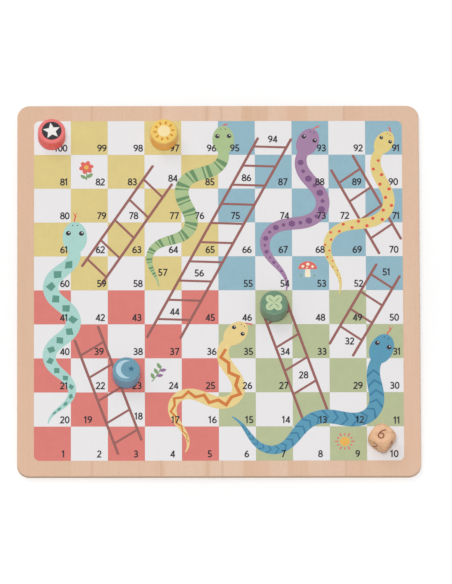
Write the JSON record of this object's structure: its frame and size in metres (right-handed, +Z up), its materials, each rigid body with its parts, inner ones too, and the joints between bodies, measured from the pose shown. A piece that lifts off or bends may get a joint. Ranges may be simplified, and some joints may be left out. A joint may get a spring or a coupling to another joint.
{
  "type": "snakes and ladders board",
  "caption": "Square plywood game board with a printed grid of numbered squares, ladders and winding snakes, with low round pawns and a ball-cornered wooden die.",
  "frame": {"origin": "on the table, under the middle of the board's underside", "axes": "+X to the reader's right, +Y away from the reader, +Z up out of the printed face"},
  "size_m": [0.35, 0.35, 0.0232],
  "materials": {
    "back_veneer": "sanded bare veneer, grain front to back",
    "core_veneer": "sawn and sanded veneer, grain across the board",
    "face_veneer": "sanded veneer with a thin matt varnish, grain front to back",
    "red_paint": "satin water-based paint on turned wood",
    "yellow_paint": "satin water-based paint on turned wood",
    "green_paint": "satin water-based paint on turned wood",
    "blue_paint": "satin water-based paint on turned wood",
    "die_wood": "bare hardwood, tumbled smooth",
    "white_ink": "matt printing ink, slightly mottled",
    "yellow_ink": "matt printing ink, slightly mottled",
    "blue_ink": "matt printing ink, slightly mottled",
    "red_ink": "matt printing ink, slightly mottled",
    "green_ink": "matt printing ink, slightly mottled",
    "ladder_ink": "matt printing ink, slightly mottled",
    "mint_snake_ink": "matt printing ink, slightly mottled",
    "green_snake_ink": "matt printing ink, slightly mottled",
    "purple_snake_ink": "matt printing ink, slightly mottled",
    "yellow_snake_ink": "matt printing ink, slightly mottled",
    "blue_snake_ink": "matt printing ink, slightly mottled",
    "orange_snake_ink": "matt printing ink, slightly mottled"
  },
  "bodies": {
    "board": {"back_ply": "back_veneer", "core_ply": "core_veneer", "face_ply": "face_veneer", "white_squares": "white_ink", "yellow_squares": "yellow_ink", "blue_squares": "blue_ink", "red_squares": "red_ink", "green_squares": "green_ink", "ladders": "ladder_ink", "mint_snake": "mint_snake_ink", "green_snake": "green_snake_ink", "purple_snake": "purple_snake_ink", "yellow_snake": "yellow_snake_ink", "blue_snake": "blue_snake_ink", "orange_snake": "orange_snake_ink"},
    "red_pawn": {"red_pawn": "red_paint"},
    "yellow_pawn": {"yellow_pawn": "yellow_paint"},
    "green_pawn": {"green_pawn": "green_paint"},
    "blue_pawn": {"blue_pawn": "blue_paint"},
    "die": {"die": "die_wood"}
  },
  "joints": [
    {"name": "red_pawn_lift", "type": "slide", "parent": "board", "child": "red_pawn", "axis": [0, 0, 1], "range_m": [0, 0.05]},
    {"name": "yellow_pawn_lift", "type": "slide", "parent": "board", "child": "yellow_pawn", "axis": [0, 0, 1], "range_m": [0, 0.05]},
    {"name": "green_pawn_lift", "type": "slide", "parent": "board", "child": "green_pawn", "axis": [0, 0, 1], "range_m": [0, 0.05]},
    {"name": "blue_pawn_lift", "type": "slide", "parent": "board", "child": "blue_pawn", "axis": [0, 0, 1], "range_m": [0, 0.05]},
    {"name": "die_lift", "type": "slide", "parent": "board", "child": "die", "axis": [0, 0, 1], "range_m": [0, 0.05]}
  ]
}
